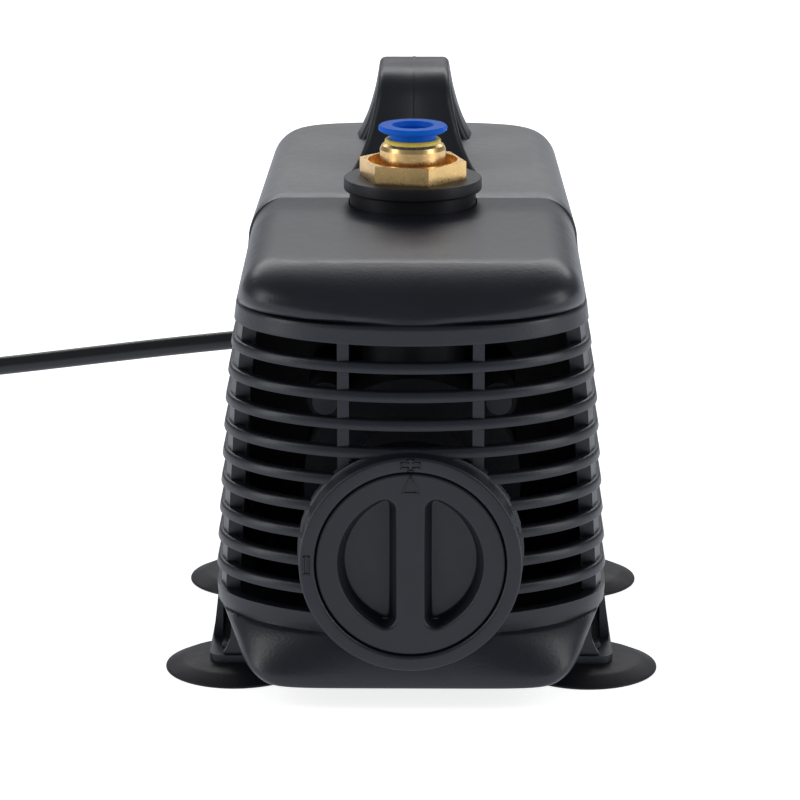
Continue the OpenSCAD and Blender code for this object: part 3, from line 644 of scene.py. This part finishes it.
def build_shell():
    bm = bmesh.new()
    underside = closing_rows(shell_outline, FLOOR_SHARES, *SHELL_SIDES[0])
    add_grid(bm, underside + [shell_outline(*row) for row in SHELL_SIDES] + shell_dome())
    shell = make_object("motor_shell", bm)
    thicken(shell, WALL)
    cut(shell, neck_cutter(circle(NECK_HOLE_R, 96)))
    add_bevel(shell, 0.3, 2, 50)
    bake(shell)
    place(shell, "shell_plastic", ROOT, "rear_shell")


# ---------------------------------------------------------------- handle

# y, z, half width, half thickness, from the front foot over the arch to the rear foot
HANDLE = [
    (40.0, 90.6, 14.4, 6.4), (40.9, 93.6, 12.6, 5.1), (42.3, 97.2, 11.1, 4.2), (44.6, 102.2, 9.7, 3.7),
    (47.6, 107.3, 8.6, 3.3), (52.5, 109.9, 8.3, 3.0), (61.0, 110.05, 8.3, 2.9), (69.5, 109.9, 8.3, 3.0),
    (73.9, 107.4, 8.7, 3.3), (76.0, 102.2, 9.8, 3.7), (77.3, 97.2, 11.3, 4.1), (78.1, 93.6, 12.8, 4.8),
    (78.5, 90.6, 14.4, 5.6),
]


def handle_section(half_w, half_t):
    """Rounded bar section, with the fine parting line that runs along the top of the handle."""
    soft = 1.5
    arcs = []
    for cx, cy, start in ((1, 1, 0), (-1, 1, 90), (-1, -1, 180), (1, -1, 270)):
        turn = [math.radians(start + 90 * step / 4) for step in range(5)]
        arcs.append([(cx * (half_w - soft) + soft * math.cos(a), cy * (half_t - soft) + soft * math.sin(a))
                     for a in turn])
    foot, crest, rise = 0.35, 0.2, 0.12
    parting = [(foot, half_t), (crest, half_t + rise), (-crest, half_t + rise), (-foot, half_t)]
    return arcs[0] + parting + arcs[1] + arcs[2] + arcs[3]


def build_handle():
    """A rounded bar swept over an arch, widening into two feet."""
    curve = catmull(HANDLE, 6)
    rows = []
    for k, (y, z, half_w, half_t) in enumerate(curve):
        before, after = curve[max(k - 1, 0)], curve[min(k + 1, len(curve) - 1)]
        along = Vector((after[0] - before[0], after[1] - before[1])).normalized()
        out = Vector((-along.y, along.x))
        rows.append([(u, y + out.x * v, z + out.y * v) for u, v in handle_section(half_w, half_t)])
    bm = bmesh.new()
    add_tube(bm, rows)
    place(make_object("carry_grip", bm, 50), "knob_plastic", ROOT, "carry_handle")


# ---------------------------------------------------------------- knob

KNOB_FRONT_Y = -78.5
RECESS_R = 15.3
RECESS_DEPTH = 5.0
RECESS_CORNER = 2.6
RECESS_SLOPE = 1.8
BAR_HALF = 2.7


def recess_gap(x, z):
    """How far a point of the knob lies inside the round-cornered outline of a finger recess."""
    x, z = abs(x), abs(z)
    r = math.hypot(x, z)
    core_r, core_x = RECESS_R - RECESS_CORNER, BAR_HALF + RECESS_CORNER
    core_z = math.sqrt(core_r ** 2 - core_x ** 2)
    if r <= core_r and x >= core_x:
        return RECESS_CORNER + min(core_r - r, x - core_x)
    if x < core_x and z <= core_z:
        return RECESS_CORNER - (core_x - x)
    if r > core_r and x * core_r / r >= core_x:
        return RECESS_CORNER - (r - core_r)
    return RECESS_CORNER - math.hypot(x - core_x, z - core_z)


def knob_depth(x, z):
    """How far the knob's face stands back at a point: a bar between two recesses, shallower outwards."""
    shallower = 1 - 0.16 * (abs(x) / RECESS_R)
    return RECESS_DEPTH * shallower * smooth(recess_gap(x, z) / RECESS_SLOPE)


def build_knob():
    radius, back = KNOB_HIGH[0], KNOB_HIGH[1]
    count, steps, rim, stem_r = 100, 240, 0.5, 3.2
    rows = []
    for j in range(count + 1):
        face = circle((radius - rim) * j / count + 0.001, steps)
        rows.append([(x, KNOB_FRONT_Y + knob_depth(x, z), AXIS_Z + z) for x, z in face])
    edge = [(radius - 0.15, KNOB_FRONT_Y + 0.15), (radius, KNOB_FRONT_Y + rim), (radius, back),
            (stem_r, back)]
    rows += [[(x, y, AXIS_Z + z) for x, z in circle(r, steps)] for r, y in edge]
    bm = bmesh.new()
    add_grid(bm, rows, closed=True)
    arrow = [(-1.6, 15.4), (1.6, 15.4), (0, 19.0)]
    raised_outline(bm, (0, AXIS_Z), arrow, KNOB_FRONT_Y)
    place(make_object("flow_knob_face", bm, 60), "knob_plastic", "flow_valve", "flow_knob")


# ---------------------------------------------------------------- feet

def build_cups():
    """Suction cups: a thin disc that rises to a stalk held by the base."""
    for name in ("front_left", "front_right", "rear_left", "rear_right"):
        node = "suction_cup_" + name
        low, high = corners(node)
        centre = ((low[0] + high[0]) / 2, (low[1] + high[1]) / 2, 0)
        r = (high[0] - low[0]) / 2
        profile = rounded([
            (0.01, 1.6), (6, 1.4), (11, 0.9), (r - 1.0, 0.05), (r, 0.0), (r, 0.55), (11.8, 2.2),
            (7.2, 2.85), (2.5, 2.9), (2.5, 4.5), (3.3, 4.55), (3.0, 5.6), (0.01, 5.9)
        ], 0.5, 3)
        bm = bmesh.new()
        add_revolved(bm, profile, centre, steps=120)
        place(make_object("cup_" + name, bm, 60), "soft_rubber", ROOT, node)


# ---------------------------------------------------------------- cable

CABLE_R = 2.33


def cable_path():
    """From inside the gland out of the tail, round a bend and away to the left with a slight wander."""
    bend, drop, wander = 12.0, 1.7, 0.25
    low, high = corners("power_cable")
    gland_low, gland_high = corners("cable_gland")
    x0, z0 = (gland_low[0] + gland_high[0]) / 2, (gland_low[2] + gland_high[2]) / 2
    run_y = high[1] - CABLE_R
    points = [Vector((x0, y, z0)) for y in (80, 96, run_y - bend)]
    for k in range(1, 6):
        a = math.pi / 2 * k / 6
        points.append(Vector((x0 - bend * (1 - math.cos(a)), run_y - bend * (1 - math.sin(a)),
                              z0 - drop * (1 - math.cos(a)))))
    turn = Vector((x0 - bend, run_y, z0 - drop))
    end = Vector((low[0] + 0.3, run_y, low[2] + CABLE_R))
    points.append(turn)
    for k in range(1, 13):
        t = k / 12
        here = turn.lerp(end, t)
        here.z += wander * math.sin(t * math.pi * 2)
        points.append(here)
    return [Vector(p) for p in catmull([tuple(p) for p in points], 5)]


def build_cable():
    curve = cable_path()
    rows = []
    for k, here in enumerate(curve):
        along = (curve[min(k + 1, len(curve) - 1)] - curve[max(k - 1, 0)]).normalized()
        side = along.cross(Vector((0, 0, 1))).normalized()
        up = side.cross(along)
        rows.append([tuple(here + (side * math.cos(a) + up * math.sin(a)) * CABLE_R) for a in angles(32)])
    bm = bmesh.new()
    add_tube(bm, rows)
    place(make_object("cable_jacket", bm, 50), "cable_rubber", ROOT, "power_cable")


# ---------------------------------------------------------------- pump chamber and outlet

def build_outlet():
    """Round chamber, riser pipe, neck and flange, with the four screw bosses."""
    bm = bmesh.new()
    front, back, floor = -16, 15, 8
    chamber_r, wall_r, well_r = 21, 24, 13.5
    chamber = [(well_r, back), (well_r, floor), (chamber_r, floor), (chamber_r, front), (wall_r, front),
               (wall_r, back), (well_r, back)]
    add_revolved(bm, rounded(chamber, 0.5), (0, 0, AXIS_Z), axis="Y")
    pipe_r, pipe_wall_r, pipe_low_z = 8.5, 12, 54
    thread_r, thread_low_z = 10.45, 85
    flange_r, flange_low_z, flange_top_z = 15.3, 95.15, 97.9
    neck_low_z, start_z = 84, 70
    riser = [(pipe_r, start_z), (pipe_r, thread_low_z), (thread_r, thread_low_z), (thread_r, flange_top_z),
             (flange_r, flange_top_z), (flange_r, flange_low_z), (NECK_R, flange_low_z), (NECK_R, neck_low_z),
             (pipe_wall_r, neck_low_z), (pipe_wall_r, pipe_low_z), (pipe_r, pipe_low_z), (pipe_r, start_z)]
    add_revolved(bm, rounded(riser, 0.45, 5), (0, 0, 0), steps=160)
    screw_circle_r, screw_r, boss_r, boss_back = 27, 1.6, 4, 14.9
    boss = [(screw_r, 0), (screw_r, front), (boss_r, front), (boss_r, boss_back), (screw_r, boss_back),
            (screw_r, 0)]
    for k in range(4):
        a = math.radians(45 + 90 * k)
        centre = (screw_circle_r * math.cos(a), 0, AXIS_Z + screw_circle_r * math.sin(a))
        add_revolved(bm, rounded(boss, 0.4), centre, axis="Y", steps=48)
    place(make_object("pump_outlet", bm), "inner_plastic", ROOT, "volute_housing")


# ---------------------------------------------------------------- carried-over CAD nodes

EDGE_MM = {
    "base_frame": 0.35, "fitting_body": 0.25, "fitting_trim_ring": 0.12,
    "release_collar": 0.1, "cable_gland": 0.3, "rest_strip": 0.6, "gland_nut": 0.2,
}


def dress_frame():
    slots = {part["node"]: part["material_slot"] for part in frame["record"]["subparts"]}
    for node, obj in frame["nodes"].items():
        dress(obj, slots[node])
        if node in EDGE_MM:
            add_bevel(obj, EDGE_MM[node], 3, 30)


# ---------------------------------------------------------------- studio

FLOOR_HALF = 6000


def floor_look():
    """Pale floor that reads white to the camera, lights the object from below and is clear from under it."""
    material = surface("floor paint", (0.9, 0.9, 0.9), 0.6, grain=60, vary=0.004)
    nodes, links = material.node_tree.nodes, material.node_tree.links
    seen = nodes["Principled BSDF"]
    seen.inputs["Emission Color"].default_value = (1, 1, 1, 1)
    seen.inputs["Emission Strength"].default_value = 0.8
    dull = nodes.new("ShaderNodeBsdfPrincipled")
    dull.inputs["Base Color"].default_value = (0.40, 0.41, 0.44, 1)
    dull.inputs["Roughness"].default_value = 0.9
    dull.inputs["Emission Color"].default_value = (0.91, 0.95, 1.03, 1)
    dull.inputs["Emission Strength"].default_value = 0.72
    mix = nodes.new("ShaderNodeMixShader")
    links.new(nodes.new("ShaderNodeLightPath").outputs["Is Camera Ray"], mix.inputs["Fac"])
    links.new(dull.outputs["BSDF"], mix.inputs[1])
    links.new(seen.outputs["BSDF"], mix.inputs[2])
    clear = nodes.new("ShaderNodeMixShader")
    links.new(nodes.new("ShaderNodeNewGeometry").outputs["Backfacing"], clear.inputs["Fac"])
    links.new(mix.outputs["Shader"], clear.inputs[1])
    links.new(nodes.new("ShaderNodeBsdfTransparent").outputs["BSDF"], clear.inputs[2])
    links.new(clear.outputs["Shader"], nodes["Material Output"].inputs["Surface"])
    return material


def build_floor():
    bm = bmesh.new()
    add_grid(bm, [[(-FLOOR_HALF, y, 0), (FLOOR_HALF, y, 0)] for y in (-FLOOR_HALF, FLOOR_HALF)])
    floor = make_object("floor", bm)
    floor.data.materials.append(floor_look())


def build_world():
    """Soft grey surroundings, brighter behind the pump than in front of it."""
    world = bpy.data.worlds.new("studio")
    bpy.context.scene.world = world
    bpy.context.scene.view_settings.view_transform = "Standard"
    world.use_nodes = True
    nodes, links = world.node_tree.nodes, world.node_tree.links
    split = nodes.new("ShaderNodeSeparateXYZ")
    links.new(nodes.new("ShaderNodeTexCoord").outputs["Generated"], split.inputs["Vector"])
    ramp = nodes.new("ShaderNodeMapRange")
    ramp.inputs["From Min"].default_value = 0.3
    ramp.inputs["From Max"].default_value = 0.95
    ramp.inputs["To Min"].default_value = 0.21
    ramp.inputs["To Max"].default_value = 0.33
    links.new(split.outputs["Y"], ramp.inputs["Value"])
    background = nodes["Background"]
    background.inputs["Color"].default_value = (0.93, 0.96, 1.03, 1)
    links.new(ramp.outputs["Result"], background.inputs["Strength"])


def softbox(name, location, aim, size, power):
    """Rectangular lamp, in metres and watts, turned towards aim."""
    light = bpy.data.lights.new(name, "AREA")
    light.shape = "RECTANGLE"
    light.size, light.size_y = size
    light.energy = power
    obj = bpy.data.objects.new(name, light)
    bpy.context.collection.objects.link(obj)
    obj.location = location
    obj.rotation_euler = (Vector(aim) - Vector(location)).to_track_quat("-Z", "Y").to_euler()


def build_lights():
    softbox("back box", (0, 0.90, 0.66), (0, 0, 0.06), (1.3, 0.34), 4)
    softbox("left strip", (-0.8, -0.25, 0.35), (0, -0.02, 0.05), (0.25, 0.9), 2.5)
    softbox("right strip", (0.8, -0.25, 0.35), (0, -0.02, 0.05), (0.25, 0.9), 2.5)


def build_camera():
    """Long lens in front of the strainer, looking 15 degrees down."""
    camera = bpy.data.cameras.new("camera")
    camera.sensor_width = 36
    camera.lens = 164.25
    obj = bpy.data.objects.new("camera", camera)
    bpy.context.collection.objects.link(obj)
    obj.location = (0.0041, -0.7943, 0.2594)
    obj.rotation_euler = (math.radians(75), 0, math.radians(0.5))
    bpy.context.scene.camera = obj


dress_frame()
build_cage()
build_shell()
build_handle()
build_knob()
build_cups()
build_cable()
build_outlet()
build_floor()
build_world()
build_lights()
build_camera()
